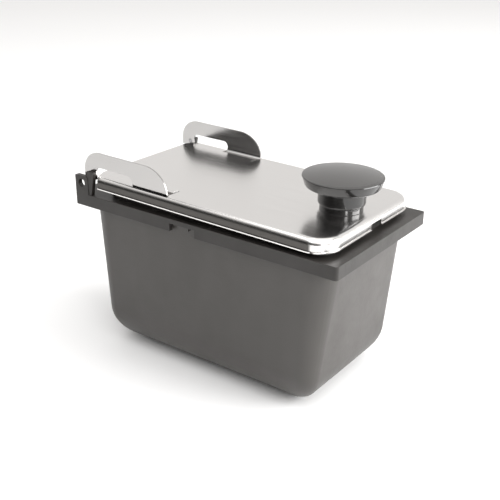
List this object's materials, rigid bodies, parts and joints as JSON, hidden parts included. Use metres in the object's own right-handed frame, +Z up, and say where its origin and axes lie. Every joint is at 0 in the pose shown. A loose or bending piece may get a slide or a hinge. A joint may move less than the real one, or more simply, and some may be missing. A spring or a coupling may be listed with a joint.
{
  "type": "lidded drop-in bin",
  "caption": "Small moulded rectangular bin with a clip-on collar and a sloped stainless lid that swings up on two slotted ears, lifted by a round knob.",
  "frame": {"origin": "middle of the tub's flat base, under the middle of the collar", "axes": "+Z up; -Y towards the knob end; +Y towards the hinge; +X across"},
  "size_m": [0.104, 0.195, 0.1365],
  "materials": {
    "tub_plastic": "satin dark warm grey moulded plastic",
    "collar_plastic": "satin near-black moulded plastic",
    "stainless": "fine brushed along the lid's length",
    "phenolic": "polished black with a satin top",
    "brass": "turned",
    "plated_steel": "bright plated"
  },
  "bodies": {
    "bin": {"tub": "tub_plastic", "collar": "collar_plastic", "hinge_pin_left": "plated_steel", "hinge_pin_right": "plated_steel"},
    "lid": {"lid_cover": "stainless", "hinge_bracket": "stainless", "knob": "phenolic", "knob_base_ring": "phenolic", "knob_insert": "brass", "knob_screw": "plated_steel", "lock_washer": "plated_steel", "flat_washer": "plated_steel"}
  },
  "joints": [
    {"name": "lid_swing", "type": "hinge", "parent": "bin", "child": "lid", "pos_m": [0, 0.0839, 0.1162], "axis": [-1, 0, 0], "range_deg": [0, 105]}
  ]
}
